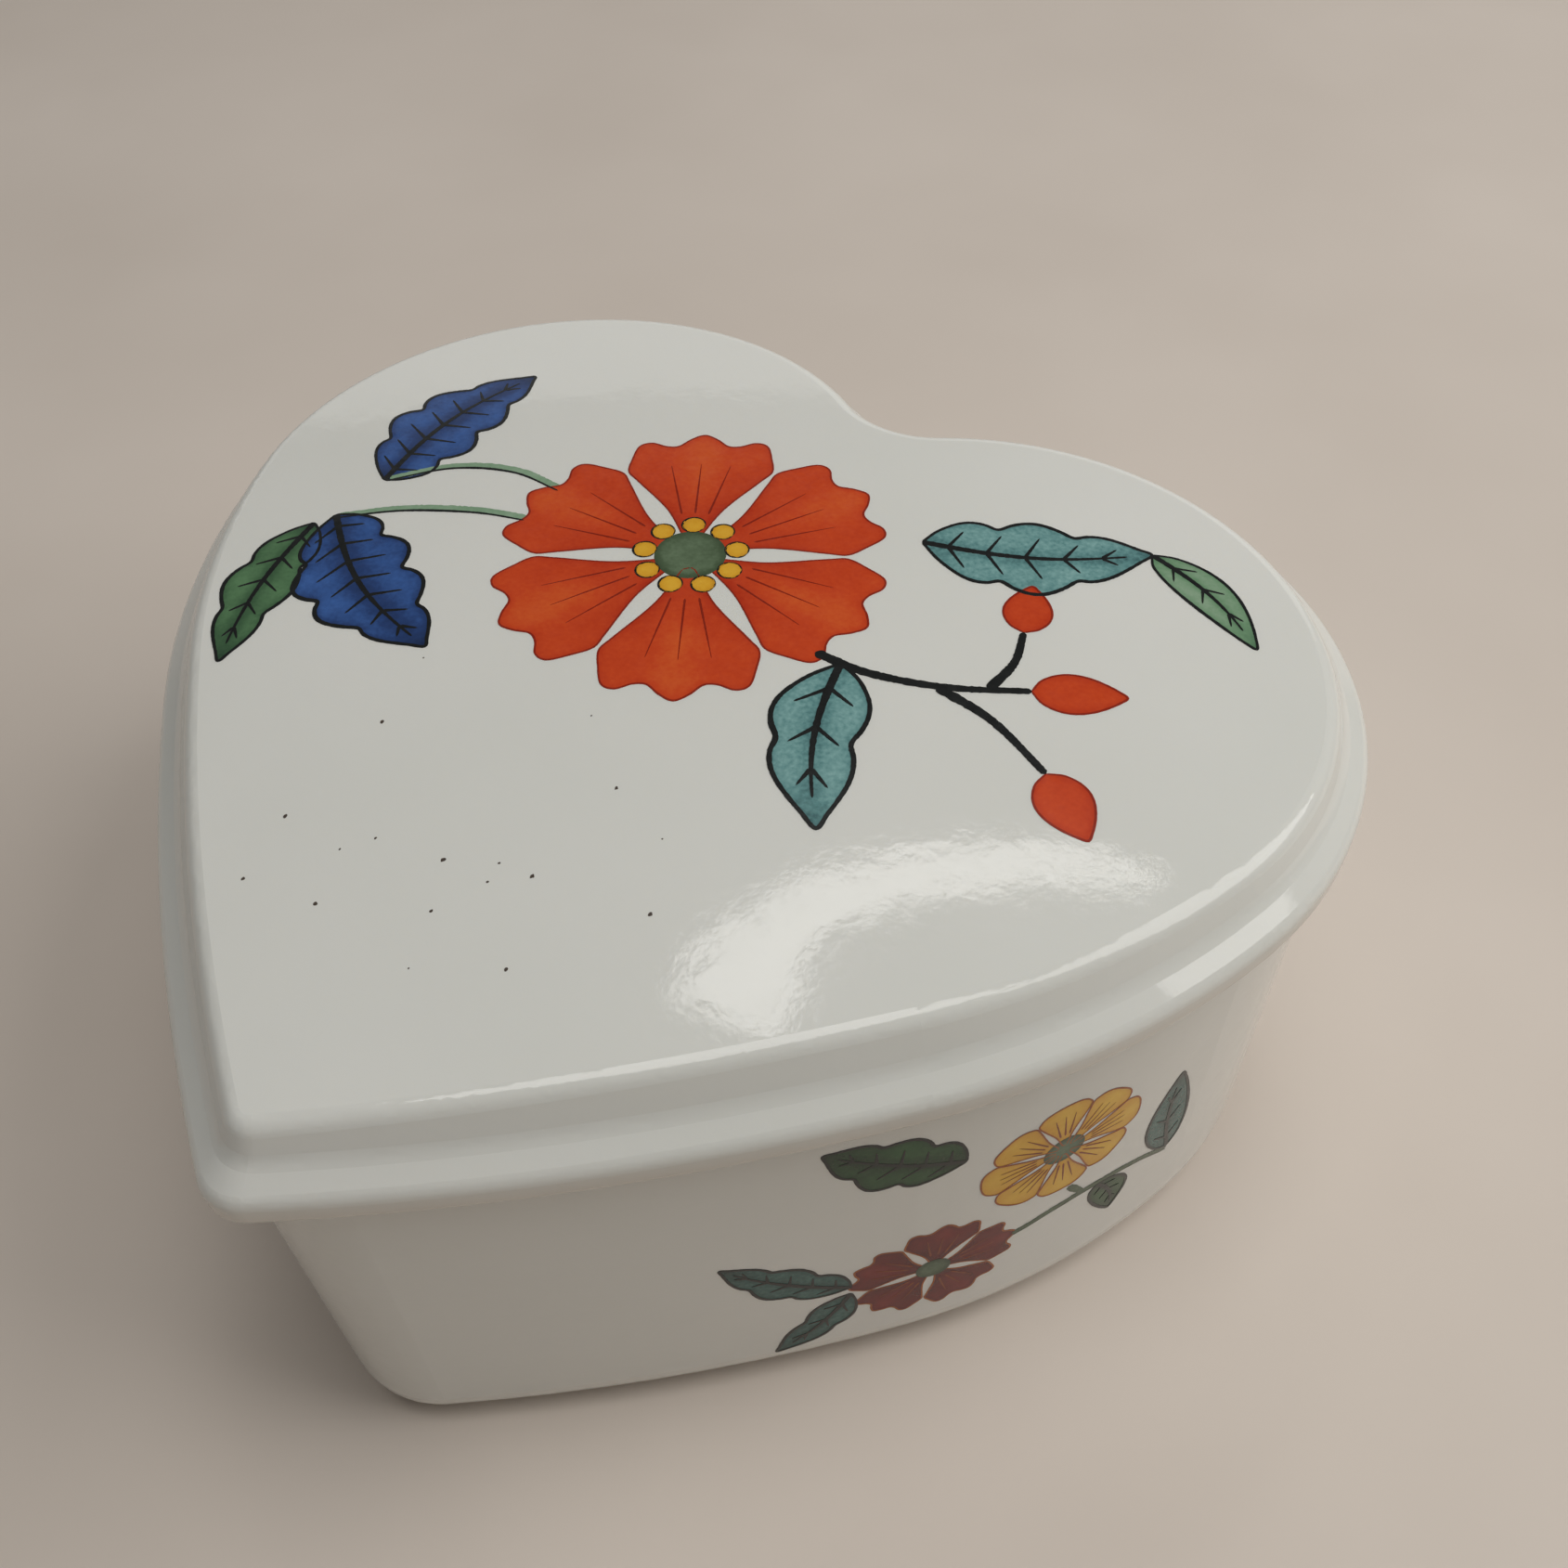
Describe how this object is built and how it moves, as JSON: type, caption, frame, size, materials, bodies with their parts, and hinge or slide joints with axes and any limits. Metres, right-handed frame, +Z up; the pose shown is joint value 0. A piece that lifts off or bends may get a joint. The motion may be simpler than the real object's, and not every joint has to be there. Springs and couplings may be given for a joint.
{
  "type": "heart-shaped trinket box",
  "caption": "Heart-shaped porcelain trinket box with a domed lift-off lid, a raised panel on the lid and a locating lip under it.",
  "frame": {"origin": "middle of the lid's outline, on the surface that the box stands on", "axes": "+Z up, the way the lid lifts; the heart's point faces -Y and its two lobes lie towards +Y, side by side along X"},
  "size_m": [0.09, 0.0834, 0.0446],
  "materials": {
    "base_glaze": "glossy clear glaze over white porcelain",
    "lid_glaze": "glossy clear glaze over white porcelain",
    "orange_enamel": "fired overglaze enamel, orange-red petals with darker hearts",
    "red_enamel": "fired overglaze enamel, dark red petals and outlines",
    "blue_enamel": "fired overglaze enamel, blue leaves",
    "green_enamel": "fired overglaze enamel, green leaves, stems and pod",
    "teal_enamel": "fired overglaze enamel, pale teal leaves and bud",
    "yellow_enamel": "fired overglaze enamel, yellow petals and beads",
    "black_enamel": "fired overglaze enamel, black outlines and veins",
    "body_specks": "iron specks and pinholes in the glaze"
  },
  "bodies": {
    "base": {"box_base": "base_glaze"},
    "lid": {"lid": "lid_glaze"}
  },
  "joints": [
    {"name": "lid_lift", "type": "slide", "parent": "base", "child": "lid", "axis": [0, 0, 1], "range_m": [0, 0.05]}
  ]
}
